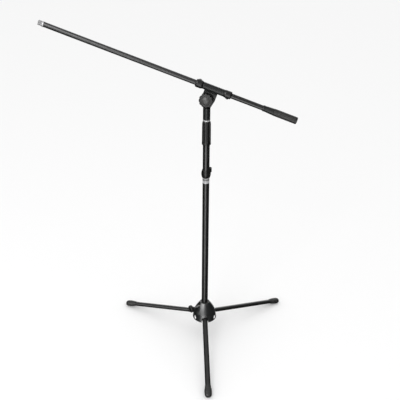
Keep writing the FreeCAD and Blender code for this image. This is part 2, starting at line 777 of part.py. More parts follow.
def mic_thread():
    """The threaded adapter: an outside thread for the microphone clip, bored for weight."""
    shoulder = THREAD_U0 + THREAD_LEN
    plug = BOOM_R - BOOM_WALL - SEAT
    return on_boom([
        (THREAD_BORE_R, THREAD_U0),
        (THREAD_R - 0.7, THREAD_U0),
        (THREAD_R, THREAD_U0 + 0.7),
        (THREAD_R, shoulder - SEAT),
        (plug, shoulder - SEAT),
        (plug, BOOM_TUBE_U0 + 20.0),
        (THREAD_BORE_R, BOOM_TUBE_U0 + 20.0),
    ])


def mic_thread_ring():
    low = THREAD_U0 + THREAD_LEN
    high = BOOM_TUBE_U0 - SEAT
    inner = BOOM_R - BOOM_WALL
    outer = 9.0
    return on_boom([
        (inner, low),
        (outer - 0.5, low),
        (outer, low + 0.5),
        (outer, high - 0.5),
        (outer - 0.4, high),
        (inner, high),
    ])


def counterweight_core():
    """A steel plug beyond the end of the boom with a tapered nose that holds the tube."""
    bore = BOOM_R + SEAT
    cap_u = WEIGHT_U1 - WEIGHT_CAP_T
    return on_boom([
        (bore, NOSE_U0),
        (8.7, NOSE_U0),
        (9.3, NOSE_U0 + 1.0),
        (9.3, NOSE_U0 + 5.0),
        (8.9, NOSE_U0 + 6.0),
        (WEIGHT_R - 0.5, NOSE_U1 - 3.0),
        (WEIGHT_R - 0.5, NOSE_U1),
        (WEIGHT_CORE_R, NOSE_U1),
        (WEIGHT_CORE_R, cap_u),
        (0, cap_u),
        (0, BOOM_TUBE_U1 + 0.5),
        (bore, BOOM_TUBE_U1 + 0.5),
    ])


def counterweight_sleeve():
    bore = WEIGHT_CORE_R + SEAT
    start = NOSE_U1 + SEAT
    end = WEIGHT_U1 - WEIGHT_CAP_T
    return on_boom([
        (bore, start),
        (WEIGHT_R - 0.4, start),
        (WEIGHT_R, start + 0.8),
        (WEIGHT_R, end),
        (bore, end),
    ])


def counterweight_cap():
    start = WEIGHT_U1 - WEIGHT_CAP_T + PIN_RUN
    radius = WEIGHT_R - 0.1
    return on_boom([
        (0, start),
        (radius, start),
        (radius, WEIGHT_U1 - 1.2),
        (radius - 1.1, WEIGHT_U1),
        (0, WEIGHT_U1),
    ])


def fixed_pieces():
    """The hub and the pole, up to the height clutch."""
    return {
        "hub_housing": hub_housing(),
        "hub_bushing_upper": hub_bushing(*BUSHING_UPPER),
        "hub_bushing_lower": hub_bushing(*BUSHING_LOWER),
        "leg_hinge_pins": leg_hinge_pins(),
        "thumbscrew_insert": thumbscrew_insert(),
        "thumbscrew_pad": thumbscrew_pad(),
        "thumbscrew_shank": thumbscrew_shank(),
        "thumbscrew_knob": thumbscrew_knob(),
        "lower_tube": lower_tube(),
        "lower_tube_plug": lower_tube_plug(),
        "label_band": label_band(),
        "cable_clip": cable_clip(),
        "clutch_body": clutch_body(),
        "clutch_collet": clutch_collet(),
        "height_grip": height_grip(),
        "upper_tube_bush": upper_tube_bush(),
    }


def swivel_pieces():
    """Everything that turns with the upper tube, with the boom over the X axis."""
    return {
        "upper_tube": upper_tube(),
        "upper_tube_stud": upper_tube_stud(),
        "swivel_ring": swivel_ring(),
        "swivel_base": swivel_base(),
        "friction_washer": friction_washer(),
        "pivot_bolt": pivot_bolt(),
        "knob_washer": knob_washer(),
        "tilt_knob": tilt_knob(),
        "tilt_knob_insert": tilt_knob_insert(),
        "tilt_knob_cap": tilt_knob_cap(),
        "boom_holder": boom_holder(),
        "boom_collet_front": boom_collet(HOLDER_U0, 1),
        "boom_collet_rear": boom_collet(HOLDER_U1, -1),
        "boom_collar_front": boom_collar(HOLDER_U0, 1, FRONT_COLLAR_R, 1),
        "boom_collar_rear": boom_collar(HOLDER_U1, -1, REAR_COLLAR_R, -1),
        "boom_tube": boom_tube(),
        "mic_thread": mic_thread(),
        "mic_thread_ring": mic_thread_ring(),
        "counterweight_core": counterweight_core(),
        "counterweight_sleeve": counterweight_sleeve(),
        "counterweight_cap": counterweight_cap(),
    }


def all_pieces():
    pieces = fixed_pieces()
    for name, shape in swivel_pieces().items():
        pieces[name] = turned_about_z(shape, SWIVEL_TURN)
    for name, azimuth in LEG_AZ.items():
        pieces["leg_tube_" + name] = in_leg(leg_tube(), azimuth)
        pieces["leg_knuckle_" + name] = in_leg(leg_knuckle(), azimuth)
        pieces["foot_" + name] = foot(azimuth)
    return pieces


os.makedirs("parts", exist_ok=True)
for node, shape in all_pieces().items():
    shape.exportStep("parts/" + node + ".step")
    print(node, shape.isValid(), len(shape.Solids), round(shape.Volume / 1000, 2))
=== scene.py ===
import json
import math

import bmesh
import bpy
from mathutils import Matrix, Vector

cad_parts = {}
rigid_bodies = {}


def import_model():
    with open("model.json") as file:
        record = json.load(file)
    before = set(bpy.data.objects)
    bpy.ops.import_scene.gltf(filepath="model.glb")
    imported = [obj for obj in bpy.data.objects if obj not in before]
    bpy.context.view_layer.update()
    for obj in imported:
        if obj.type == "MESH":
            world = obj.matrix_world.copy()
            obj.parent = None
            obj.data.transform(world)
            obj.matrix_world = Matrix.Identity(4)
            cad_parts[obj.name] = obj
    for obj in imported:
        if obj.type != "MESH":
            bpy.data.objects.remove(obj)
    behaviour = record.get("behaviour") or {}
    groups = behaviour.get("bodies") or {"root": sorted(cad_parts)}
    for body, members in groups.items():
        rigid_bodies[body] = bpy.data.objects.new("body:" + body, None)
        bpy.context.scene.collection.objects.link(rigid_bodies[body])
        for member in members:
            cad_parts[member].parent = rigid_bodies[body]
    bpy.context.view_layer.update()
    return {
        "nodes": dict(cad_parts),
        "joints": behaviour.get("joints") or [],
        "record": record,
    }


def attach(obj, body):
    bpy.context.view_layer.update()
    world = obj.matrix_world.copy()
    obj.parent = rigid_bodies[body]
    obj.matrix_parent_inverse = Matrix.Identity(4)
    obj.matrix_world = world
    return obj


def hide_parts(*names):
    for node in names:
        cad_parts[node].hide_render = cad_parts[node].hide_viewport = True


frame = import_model()

# A boom microphone stand. Shapes are worked out in millimetres, in local axes taken from the frame's
# joints, and are placed in the frame's metres. In every set of local axes, z runs along the piece.
MM = 0.001
TAU = 2 * math.pi
X, Y, Z = (1, 0, 0), (0, 1, 0), (0, 0, 1)
LEGS = ("front", "right", "left")
SEGMENTS = 96             # round the larger turned pieces
CUT_PAST = 20             # how far a hole's cutter starts below its piece
FINISH = "_finish"        # ends the names of these materials, since the frame brings its own

# ---- hub ----
CREASE_UP = 27.0          # the crease is this far above the hub's lower edge
CREASE_R = 38.2
HUB_TOP_R = 16.0
DOME_BULGE = 1.6
HUB_WALL = 2.6
HUB_BOSS_R = 16.0
HUB_BOSS_UP = 32.0
LUG_IN = 9.6
LUG_OUT = 13.0
LUG_UP = 0.5              # the lugs end this far above the hub's lower edge
LUG_DOWN = 22.0           # and start this far below its top
PIN_HOLE_R = 3.02
PIN_REACH = 20.0          # half the length of the cutter for a hinge pin's hole
SCREW_BOSS_R = 6.6
SCREW_BOSS = (12, 28)     # where the boss starts and ends along the thumbscrew
ARCH_HALF = 11.3
ARCH_UP = 18.5
ARCH_CUT = (33, 60)       # the arch's cutter runs between these distances from the pole's axis
SIDE_HOLE_R = 6.4
SIDE_HOLE_UP = 9.0
SIDE_HOLE_CUT = (26, 56)  # the hole's cutter runs between these distances from the pole's axis

# ---- grips and knobs ----
GRIP_FLUTES = 10
GRIP_FLUTE_DEPTH = 1.15
TILT_KNOB_LOBES = 12
TILT_KNOB_DEPTH = 1.5
SCREW_KNOB_FLUTES = 10
SCREW_KNOB_DEPTH = 1.35
BOLT_R = 4.0              # the tilt joint's bolt

# ---- threads ----
MIC_PITCH = 25.4 / 27
MIC_THREAD_DEPTH = 0.55
SCREW_PITCH = 1.0
SCREW_THREAD_DEPTH = 0.4

# ---- legs ----
LEG_W = 18.0
LEG_H = 14.0
LEG_WALL = 1.3
BOOT_SQUARE = 2.2         # how far the boot's corners fill out from an oval's 2.0
BOOT_SECTIONS = (         # share of the boot's length, half height, half width
    (0.0, 7.5, 9.5), (0.03, 7.9, 9.9), (0.15, 8.1, 10.2), (0.35, 8.9, 11.6), (0.55, 9.3, 12.3),
    (0.78, 9.1, 11.8), (0.9, 8.6, 10.6), (0.965, 8.0, 9.2), (1.0, 6.6, 7.2),
)
BOOT_GROOVES = (0.24, 0.66)
BOOT_GROOVE_HALF = 0.035
BOOT_GROOVE_DEPTH = 0.9
BOOT_SEAM_DEPTH = 0.7
BOOT_SEAM_HALF = 1.3


# ======== places, from the frame ========

joints = {joint["name"]: joint for joint in frame["joints"]}
behaviour = frame["record"]["behaviour"]
body_of = {node: body for body, nodes in behaviour["bodies"].items() for node in nodes}
slot_of = {part["node"]: part["material_slot"] for part in frame["record"]["subparts"]}


def axes(origin, along, up):
    """The matrix from local millimetres to the frame: local z is `along`, and local x is nearest `up`."""
    z = Vector(along).normalized()
    x = Vector(up)
    x = (x - x.dot(z) * z).normalized()
    turn = Matrix((x, z.cross(x), z)).transposed().to_4x4()
    return Matrix.Translation(Vector(origin)) @ turn @ Matrix.Scale(MM, 4)


def joint_axes(name, up=Z, flip=1):
    """Local axes on a joint, with z along its axis, or against it where `flip` is -1."""
    joint = joints[name]
    return axes(joint["pos_m"], Vector(joint["axis"]) * flip, up)


POLE = axes((0, 0, 0), Z, X)
PIVOT = joint_axes("boom_tilt", X, -1)
BOOM = axes(joints["front_collar_twist"]["pos_m"], joints["boom_slide"]["axis"], Z)
SCREW = joint_axes("thumbscrew_turn")
SWIVEL = axes((0, 0, 0), Z, Vector(joints["boom_tilt"]["axis"]).cross(Z))


def joint_point(name, at):
    """Where a joint is, in local millimetres."""
    return at.inverted() @ Vector(joints[name]["pos_m"])


def local_points(node, at):
    """A CAD node's vertices in local millimetres."""
    inverse = at.inverted()
    return [inverse @ vertex.co for vertex in frame["nodes"][node].data.vertices]


def extent(node, at):
    """(lowest z, highest z, smallest radius, largest radius) of a CAD node in local millimetres."""
    points = local_points(node, at)
    heights = [p.z for p in points]
    radii = [math.hypot(p.x, p.y) for p in points]
    return min(heights), max(heights), min(radii), max(radii)


def leg_axes(name):
    """Local axes with the origin on a leg's hinge, z along the leg and x on its upper side."""
    hinge = Vector(joints["leg_" + name + "_fold"]["pos_m"])
    points = [vertex.co for vertex in frame["nodes"]["leg_tube_" + name].data.vertices]
    middle = sum(points, Vector()) / len(points)
    return axes(hinge, middle - hinge, Z)


# ======== mesh helpers, in local millimetres ========

def mesh_from(bm, name="work"):
    """A mesh with its faces turned outward, made from a bmesh that isn't needed any longer."""
    bmesh.ops.recalc_face_normals(bm, faces=bm.faces)
    mesh = bpy.data.meshes.new(name)
    bm.to_mesh(mesh)
    bm.free()
    return mesh


def bridge(bm, first, second):
    """Faces between two rings of vertices, where either may be a single vertex on the axis."""
    count = max(len(first), len(second))
    if count == 1:
        return
    for i in range(count):
        j = (i + 1) % count
        a, b = first[i % len(first)], first[j % len(first)]
        c, d = second[j % len(second)], second[i % len(second)]
        corners = list(dict.fromkeys((a, b, c, d)))
        bm.faces.new(corners)


def rounded(points, radius=0.0, steps=4):
    """An outline with its corners rounded. A point is (r, z), or (r, z, its own radius)."""
    closed = points[0][0] > 1e-6
    count = len(points)
    out = []
    for i, point in enumerate(points):
        corner = Vector(point[:2])
        size = point[2] if len(point) > 2 else radius
        at_end = not closed and i in (0, count - 1)
        if at_end or size <= 0:
            out.append(tuple(corner))
            continue
        before = Vector(points[i - 1][:2]) - corner
        after = Vector(points[(i + 1) % count][:2]) - corner
        turn = math.pi - before.angle(after, math.pi)
        reach = min(size * math.tan(turn / 2), before.length * 0.45, after.length * 0.45)
        start = corner + before.normalized() * reach
        end = corner + after.normalized() * reach
        for step in range(steps + 1):
            t = step / steps
            out.append(tuple(start * (1 - t) ** 2 + corner * 2 * t * (1 - t) + end * t ** 2))
    return out


def split_rows(outline, length):
    """The outline with its long straight runs divided, so that a pattern along them has rows to move."""
    closed = outline[0][0] > 1e-6
    ends = outline[1:] + outline[:1] if closed else outline[1:] + [outline[-1]]
    out = []
    for (r0, z0), (r1, z1) in zip(outline, ends):
        parts = max(1, math.ceil(math.hypot(r1 - r0, z1 - z0) / length))
        out += [(r0 + (r1 - r0) * i / parts, z0 + (z1 - z0) * i / parts) for i in range(parts)]
    return out


def lathe(outline, segments=SEGMENTS, shape=None):
    """A closed surface turned about z from (r, z) points. `shape(angle, r, z)` gives a new radius."""
    bm = bmesh.new()
    rings = []
    for r, z in outline:
        if r < 1e-6:
            rings.append([bm.verts.new((0, 0, z))])
            continue
        ring = []
        for i in range(segments):
            angle = TAU * i / segments
            radius = shape(angle, r, z) if shape else r
            ring.append(bm.verts.new((radius * math.cos(angle), radius * math.sin(angle), z)))
        rings.append(ring)
    following = rings[1:] + rings[:1] if len(rings[0]) > 1 else rings[1:]
    for first, second in zip(rings, following):
        bridge(bm, first, second)
    return mesh_from(bm)


def prism(outline, low, high):
    """A closed solid from an outline of (x, z) points, between two values of y."""
    bm = bmesh.new()
    near = [bm.verts.new((x, low, z)) for x, z in outline]
    far = [bm.verts.new((x, high, z)) for x, z in outline]
    bm.faces.new(near)
    bm.faces.new(far)
    bridge(bm, near, far)
    return mesh_from(bm)


def rod(radius, length, at, segments=48):
    """A round bar along the z of the axes `at`, as a tool for cutting or joining."""
    mesh = lathe([(0, 0), (radius, 0), (radius, length), (0, length)], segments)
    mesh.transform(at)
    return mesh


def block(x, y, z):
    """A box between pairs of values, as a tool for cutting or joining."""
    return prism([(x[0], z[0]), (x[1], z[0]), (x[1], z[1]), (x[0], z[1])], *y)


def local_axes(origin, along, up):
    """Axes inside a piece's own local millimetres."""
    return axes(origin, along, up) @ Matrix.Scale(1 / MM, 4)


def upright(x, z):
    """Axes along a piece's own z, from a point at y = 0."""
    return local_axes((x, 0, z), Z, X)


def sideways(x, y, z):
    """Axes along a piece's own y, from a point."""
    return local_axes((x, y, z), Y, Z)


def azimuth(point):
    """The direction of a point round z, in degrees."""
    return math.degrees(math.atan2(point.y, point.x))


def turned(mesh, degrees):
    """A copy of a mesh turned about z."""
    out = mesh.copy()
    out.transform(Matrix.Rotation(math.radians(degrees), 4, "Z"))
    return out


def evaluated(mesh, modifiers):
    """The mesh after modifiers, each given as (type, {setting: value})."""
    work = bpy.data.objects.new("work", mesh)
    bpy.context.scene.collection.objects.link(work)
    for kind, settings in modifiers:
        modifier = work.modifiers.new(kind, kind)
        for key, value in settings.items():
            setattr(modifier, key, value)
    graph = bpy.context.evaluated_depsgraph_get()
    out = bpy.data.meshes.new_from_object(work.evaluated_get(graph))
    bpy.data.objects.remove(work)
    return out


def combined(mesh, others, operation):
    """The union or difference of a mesh with a list of others."""
    group = bpy.data.collections.new("tools")
    bpy.context.scene.collection.children.link(group)
    for other in others:
        group.objects.link(bpy.data.objects.new("tool", other))
    settings = {
        "operand_type": "COLLECTION",
        "collection": group,
        "solver": "EXACT",
        "operation": operation,
    }
    out = evaluated(mesh, [("BOOLEAN", settings)])
    for tool in list(group.objects):
        bpy.data.objects.remove(tool)
    bpy.data.collections.remove(group)
    return out


def softened(mesh, voxel, rounds):
    """The mesh rebuilt in small even faces with its edges rounded over, as a cast or moulded piece is."""
    remesh = {"mode": "VOXEL", "voxel_size": voxel, "use_smooth_shade": True}
    return evaluated(mesh, [("REMESH", remesh), ("SMOOTH", {"factor": 0.5, "iterations": rounds})])


def smooth_step(value, low, high):
    """From 0 at `low` to 1 at `high`, easing in and out."""
    t = min(max((value - low) / (high - low), 0.0), 1.0)
    return t * t * (3 - 2 * t)


def flutes(count, depth, low, high, blend, width=0.5, phase=0.0):
    """A lathe shape with round flutes between two heights, fading in over `blend` at each end."""
    def shape(angle, r, z):
        strength = smooth_step(z, low - blend, low) * (1 - smooth_step(z, high, high + blend))
        turn = ((angle / TAU * count + phase) % 1.0) - 0.5
        inside = max(0.0, 1 - (turn / (width / 2)) ** 2)
        return r - depth * strength * math.sqrt(inside) * smooth_step(inside, 0.0, 0.25)
    return shape


def screw_thread(pitch, depth, low, high, outer):
    """A lathe shape with a helical V thread cut in the outside between two heights."""
    def shape(angle, r, z):
        if r < outer - depth * 1.5:
            return r
        strength = smooth_step(z, low, low + pitch) * (1 - smooth_step(z, high - pitch, high))
        turn = (z / pitch - angle / TAU) % 1.0
        return r - depth * strength * (1 - abs(2 * turn - 1))
    return shape


# ======== materials ========

def noise(tree, scale, detail=3.0, roughness=0.55, stretch=None):
    """Noise over the object's own coordinates, so that it stays put when the stand moves."""
    nodes, links = tree.nodes, tree.links
    place = nodes.new("ShaderNodeTexCoord")
    texture = nodes.new("ShaderNodeTexNoise")
    texture.inputs["Scale"].default_value = scale
    texture.inputs["Detail"].default_value = detail
    texture.inputs["Roughness"].default_value = roughness
    source = place.outputs["Object"]
    if stretch:
        mapping = nodes.new("ShaderNodeMapping")
        mapping.inputs["Scale"].default_value = stretch
        links.new(source, mapping.inputs["Vector"])
        source = mapping.outputs["Vector"]
    links.new(source, texture.inputs["Vector"])
    return texture.outputs["Fac"]


def ramp(tree, source, low, high, start, end):
    """A value from `start` to `end` as the source goes from `low` to `high`."""
    node = tree.nodes.new("ShaderNodeMapRange")
    for key, value in (("From Min", low), ("From Max", high), ("To Min", start), ("To Max", end)):
        node.inputs[key].default_value = value
    tree.links.new(source, node.inputs["Value"])
    return node.outputs["Result"]


def mixed(tree, factor, first, second):
    """A colour mixed by a factor. Each side is an (r, g, b) or another node's output."""
    node = tree.nodes.new("ShaderNodeMix")
    node.data_type = "RGBA"
    tree.links.new(factor, node.inputs["Factor"])
    for side, key in ((first, "A"), (second, "B")):
        socket = [s for s in node.inputs if s.name == key and s.type == "RGBA"][0]
        if isinstance(side, tuple):
            socket.default_value = (*side, 1)
        else:
            tree.links.new(side, socket)
    return [s for s in node.outputs if s.type == "RGBA"][0]


def maths(tree, operation, first, second):
    """One step of arithmetic on outputs or plain values."""
    node = tree.nodes.new("ShaderNodeMath")
    node.operation = operation
    node.use_clamp = True
    for i, side in enumerate((first, second)):
        if isinstance(side, (int, float)):
            node.inputs[i].default_value = side
        else:
            tree.links.new(side, node.inputs[i])
    return node.outputs["Value"]


def mottled(tree, scale, first, second, detail=3.0):
    """A colour that drifts between two in soft patches."""
    patches = ramp(tree, noise(tree, scale, detail), 0.35, 0.65, 0.0, 1.0)
    return mixed(tree, patches, first, second)


def uneven(tree, scale, low, high):
    """A roughness that varies between two values."""
    return ramp(tree, noise(tree, scale, 4.0), 0.3, 0.7, low, high)


def edge_wear(tree, low, high, patchy=140.0):
    """A factor that is high on sharp edges, broken up by noise."""
    geometry = tree.nodes.new("ShaderNodeNewGeometry")
    edges = ramp(tree, geometry.outputs["Pointiness"], low, high, 0.0, 1.0)
    patches = ramp(tree, noise(tree, patchy, 4.0), 0.42, 0.62, 0.0, 1.0)
    return maths(tree, "MULTIPLY", edges, patches)


def finish(name, colour, rough, bump, metallic=0.0, coat=0.0, specular=0.5):
    """A material from outputs or plain values for colour and roughness, and (height, strength, distance)."""
    material = bpy.data.materials[name + FINISH]
    tree = material.node_tree
    shader = tree.nodes["Principled BSDF"]
    for side, key in ((colour, "Base Color"), (rough, "Roughness")):
        if isinstance(side, tuple):
            shader.inputs[key].default_value = (*side, 1)
        elif isinstance(side, float):
            shader.inputs[key].default_value = side
        else:
            tree.links.new(side, shader.inputs[key])
    shader.inputs["Metallic"].default_value = metallic
    shader.inputs["Coat Weight"].default_value = coat
    shader.inputs["Coat Roughness"].default_value = 0.25
    shader.inputs["Specular IOR Level"].default_value = specular
    height, strength, distance = bump
    node = tree.nodes.new("ShaderNodeBump")
    node.inputs["Strength"].default_value = strength
    node.inputs["Distance"].default_value = distance * MM
    tree.links.new(height, node.inputs["Height"])
    tree.links.new(node.outputs["Normal"], shader.inputs["Normal"])
    return material


def new_tree(name):
    """The node tree of a new material."""
    material = bpy.data.materials.new(name + FINISH)
    material.use_nodes = True
    return material.node_tree


def black_tube():
    """Semi-gloss powder coat on steel tube: a fine orange peel, faint blotches and long rub marks."""
    tree = new_tree("black_tube")
    base = mottled(tree, 45.0, (0.005, 0.005, 0.005), (0.009, 0.009, 0.0088))
    rubs = ramp(tree, noise(tree, 90.0, 5.0, 0.6, (1, 1, 0.12)), 0.6, 0.74, 0.0, 0.5)
    colour = mixed(tree, rubs, base, (0.018, 0.018, 0.017))
    rough = uneven(tree, 160.0, 0.3, 0.4)
    return finish("black_tube", colour, rough, (noise(tree, 1100.0, 2.0), 0.16, 0.08), coat=0.15)


def satin_black_metal():
    """Satin paint on a die casting: a slightly blue black, finely pebbled, with bare specks on edges."""
    tree = new_tree("satin_black_metal")
    base = mottled(tree, 35.0, (0.006, 0.0068, 0.007), (0.011, 0.012, 0.0115))
    colour = mixed(tree, edge_wear(tree, 0.535, 0.62), base, (0.2, 0.2, 0.2))
    rough = uneven(tree, 210.0, 0.34, 0.44)
    return finish("satin_black_metal", colour, rough, (noise(tree, 900.0, 3.0), 0.22, 0.1), specular=0.28)


def hub_paint():
    """The hub's thicker coat: a bluish black with a soft sheen, chipped along its edges."""
    tree = new_tree("hub_paint")
    base = mottled(tree, 35.0, (0.006, 0.0072, 0.0078), (0.011, 0.0125, 0.0125))
    colour = mixed(tree, edge_wear(tree, 0.535, 0.62), base, (0.2, 0.2, 0.2))
    rough = uneven(tree, 180.0, 0.36, 0.44)
    return finish("hub_paint", colour, rough, (noise(tree, 800.0, 3.0), 0.2, 0.1), coat=0.7, specular=0.7)


def black_plastic():
    """Moulded nylon with a spark-eroded texture, greyer where hands have polished it."""
    tree = new_tree("black_plastic")
    base = mottled(tree, 70.0, (0.004, 0.004, 0.004), (0.008, 0.008, 0.0078))
    colour = mixed(tree, edge_wear(tree, 0.53, 0.6), base, (0.06, 0.06, 0.058))
    rough = uneven(tree, 120.0, 0.29, 0.4)
    return finish("black_plastic", colour, rough, (noise(tree, 1700.0, 2.0), 0.2, 0.08), specular=0.35)


def gloss_plastic():
    """The knob's smooth cap: dark grey, with hair scratches."""
    tree = new_tree("gloss_plastic")
    base = mottled(tree, 90.0, (0.045, 0.045, 0.045), (0.06, 0.06, 0.058))
    scratches = ramp(tree, noise(tree, 400.0, 6.0, 0.7, (1, 1, 0.06)), 0.62, 0.7, 0.0, 0.35)
    colour = mixed(tree, scratches, base, (0.1, 0.1, 0.1))
    rough = uneven(tree, 150.0, 0.36, 0.5)
    return finish("gloss_plastic", colour, rough, (noise(tree, 700.0, 3.0), 0.1, 0.05))


def rubber():
    """Matte moulded rubber with a dusting that sits in its grain."""
    tree = new_tree("rubber")
    base = mottled(tree, 80.0, (0.008, 0.008, 0.0078), (0.015, 0.015, 0.014), 4.0)
    dust = ramp(tree, noise(tree, 260.0, 6.0, 0.7), 0.56, 0.72, 0.0, 0.5)
    colour = mixed(tree, dust, base, (0.035, 0.034, 0.031))
    rough = uneven(tree, 300.0, 0.46, 0.62)
    return finish("rubber", colour, rough, (noise(tree, 1400.0, 4.0), 0.3, 0.1), specular=0.5)


def zinc_steel():
    """Dark zinc plate with a soft spangle and fine turning marks."""
    tree = new_tree("zinc_steel")
    base = mottled(tree, 220.0, (0.07, 0.07, 0.072), (0.13, 0.13, 0.13), 5.0)
    rough = uneven(tree, 500.0, 0.32, 0.48)
    marks = noise(tree, 2500.0, 2.0, 0.5, (1, 1, 0.1))
    return finish("zinc_steel", base, rough, (marks, 0.15, 0.03), metallic=1.0)


def chrome():
    """Bright plating with faint haze and handling scratches."""
    tree = new_tree("chrome")
    tone = ramp(tree, noise(tree, 150.0, 4.0), 0.4, 0.6, 0.0, 1.0)
    base = mixed(tree, tone, (0.37, 0.37, 0.38), (0.48, 0.48, 0.48))
    rough = ramp(tree, noise(tree, 420.0, 5.0), 0.35, 0.7, 0.22, 0.38)
    scratches = noise(tree, 1800.0, 5.0, 0.7, (1, 0.15, 1))
    return finish("chrome", base, rough, (scratches, 0.08, 0.02), metallic=0.3)


def silver_band():
    """Satin silver film with one plain grey stripe, fine lines round the tube and slight ripples."""
    tree = new_tree("silver_band")
    lines = noise(tree, 60.0, 4.0, 0.6, (1, 1, 60))
    tone = ramp(tree, lines, 0.35, 0.65, 0.0, 1.0)
    film = mixed(tree, tone, (0.34, 0.34, 0.35), (0.52, 0.52, 0.53))
    place = tree.nodes.new("ShaderNodeTexCoord")
    split = tree.nodes.new("ShaderNodeSeparateXYZ")
    tree.links.new(place.outputs["Object"], split.inputs["Vector"])
    low, high, _, _ = extent("label_band", POLE)
    stripe = (0.5, 0.54, 0.84, 0.88)
    edges = [(low + (high - low) * share) * MM for share in stripe]
    rise = ramp(tree, split.outputs["Z"], edges[0], edges[1], 0.0, 1.0)
    fall = ramp(tree, split.outputs["Z"], edges[2], edges[3], 1.0, 0.0)
    base = mixed(tree, maths(tree, "MULTIPLY", rise, fall), film, (0.15, 0.15, 0.15))
    rough = uneven(tree, 200.0, 0.45, 0.6)
    return finish("silver_band", base, rough, (noise(tree, 120.0, 2.0), 0.25, 0.15), metallic=0.2)


def brass():
    """Machined brass with a slight tarnish."""
    tree = new_tree("brass")
    base = mottled(tree, 180.0, (0.5, 0.35, 0.13), (0.68, 0.5, 0.22), 4.0)
    rough = uneven(tree, 400.0, 0.25, 0.42)
    marks = noise(tree, 2200.0, 2.0, 0.5, (0.1, 1, 1))
    return finish("brass", base, rough, (marks, 0.12, 0.03), metallic=1.0)


MATERIALS = {
    make.__name__: make()
    for make in (
        black_tube, satin_black_metal, hub_paint, black_plastic, gloss_plastic, rubber,
        zinc_steel, chrome, silver_band, brass,
    )
}


# ======== pieces ========

def show(node, mesh, at, sharp=38.0, material=None):
    """Places a mesh made in local millimetres as the finished piece that stands for a CAD node."""
    mesh.transform(at)
    mesh.validate()
    mesh.shade_smooth()
    mesh.set_sharp_from_angle(angle=math.radians(sharp))
    mesh.materials.clear()
    mesh.materials.append(MATERIALS[material or slot_of[node]])
    piece = bpy.data.objects.new("visual_" + node, mesh)
    piece.data.name = piece.name
    bpy.context.scene.collection.objects.link(piece)
    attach(piece, body_of[node])
    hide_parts(node)
    return piece


def tube(node, at, fillet=0.35):
    """A plain round tube or ring with its rims eased, over a CAD node's own extent."""
    low, high, inner, outer = extent(node, at)
    outline = [(inner, low), (outer, low), (outer, high), (inner, high)]
    return show(node, lathe(rounded(outline, fillet)), at)


# ---- hub ----

def hub_outline(low, high, bottom_r, inset):
    """The hub's outer line from its lower edge to its top, set in by the wall for the inner one."""
    crease = Vector((CREASE_R - inset, low + CREASE_UP))
    top = Vector((HUB_TOP_R - inset * 0.6, high - inset))
    across = Vector((top.y - crease.y, crease.x - top.x)).normalized()
    peak = (crease + top) / 2 + across * DOME_BULGE * 2
    points = [(bottom_r - inset, low)]
    steps = 14
    for i in range(steps + 1):
        t = i / steps
        points.append(tuple(crease * (1 - t) ** 2 + peak * 2 * t * (1 - t) + top * t ** 2))
    return points


def hub_arch(low):
    """The opening that a leg comes out of: straight sides under a low round crown."""
    rise = ARCH_HALF * 0.5
    crown = low + ARCH_UP - rise
    below = low - 5
    outline = [(-ARCH_HALF, below), (ARCH_HALF, below)]
    steps = 20
    for i in range(steps + 1):
        angle = math.pi * i / steps
        outline.append((ARCH_HALF * math.cos(angle), crown + rise * math.sin(angle)))
    start, end = ARCH_CUT
    arch = prism(outline, -end, -start)
    arch.transform(Matrix.Rotation(math.radians(90), 4, "Z"))
    return arch


def hub_housing():
    """The die-cast dome: a thin shell with bosses and lugs inside, leg arches and round side holes."""
    low, high, bore, bottom_r = extent("hub_housing", POLE)
    outer = hub_outline(low, high, bottom_r, 0.0)
    inner = hub_outline(low, high, bottom_r, HUB_WALL)
    segments = 144
    envelope = lathe([(0, low)] + outer + [(0, high)], segments)
    shell = lathe(outer + list(reversed(inner)), segments)
    boss_low, boss_high = low + HUB_BOSS_UP, high - 1
    boss = lathe([(bore, boss_low), (HUB_BOSS_R, boss_low), (HUB_BOSS_R, boss_high), (bore, boss_high)])
    screw_at = POLE.inverted() @ SCREW
    start, end = SCREW_BOSS
    screw_boss = rod(SCREW_BOSS_R, end - start, screw_at @ Matrix.Translation((0, 0, start)))
    adds = [boss, screw_boss]
    cuts = [
        rod(bore, 200.0, upright(0, low - CUT_PAST), SEGMENTS),
        rod(extent("thumbscrew_insert", SCREW)[3], 60.0, screw_at),
    ]
    for name in LEGS:
        hinge = joint_point("leg_" + name + "_fold", POLE)
        around = azimuth(hinge)
        for side in (1, -1):
            ys = sorted((side * LUG_IN, side * LUG_OUT))
            lug = block((HUB_BOSS_R + 1.5, CREASE_R + 2), ys, (low + LUG_UP, high - LUG_DOWN))
            adds.append(turned(lug, around))
        cuts.append(turned(hub_arch(low), around))
        start, end = SIDE_HOLE_CUT
        hole = rod(SIDE_HOLE_R, end - start, local_axes((start, 0, low + SIDE_HOLE_UP), X, Z))
        cuts.append(turned(hole, around + 60))
        pin_hole = rod(PIN_HOLE_R, 2 * PIN_REACH, sideways(hinge.xy.length, -PIN_REACH, hinge.z))
        cuts.append(turned(pin_hole, around))
    inside = combined(adds[0], adds[1:], "UNION")
    inside = combined(inside, [envelope], "INTERSECT")
    body = combined(shell, [inside], "UNION")
    body = combined(body, cuts, "DIFFERENCE")
    return show("hub_housing", softened(body, 0.6, 6), POLE, 180.0, "hub_paint")


# ---- pole ----

def label_band():
    """The film round the tube, with its end lapped over its start."""
    low, high, inner, outer = extent("label_band", POLE)
    lap_start, lap_end, lap_ramp = 3.9, 4.25, 0.02
    film = 0.06
    single = outer - film

    def lapped(angle, r, z):
        rise = smooth_step(angle, lap_start, lap_start + lap_ramp)
        over = rise * (1 - smooth_step(angle, lap_end, lap_end + lap_ramp))
        return r + (film * over if r > inner + 0.05 else 0)

    outline = [(inner, low), (single, low), (single, high), (inner, high)]
    return show("label_band", lathe(rounded(outline, 0.05), 160, lapped), POLE)


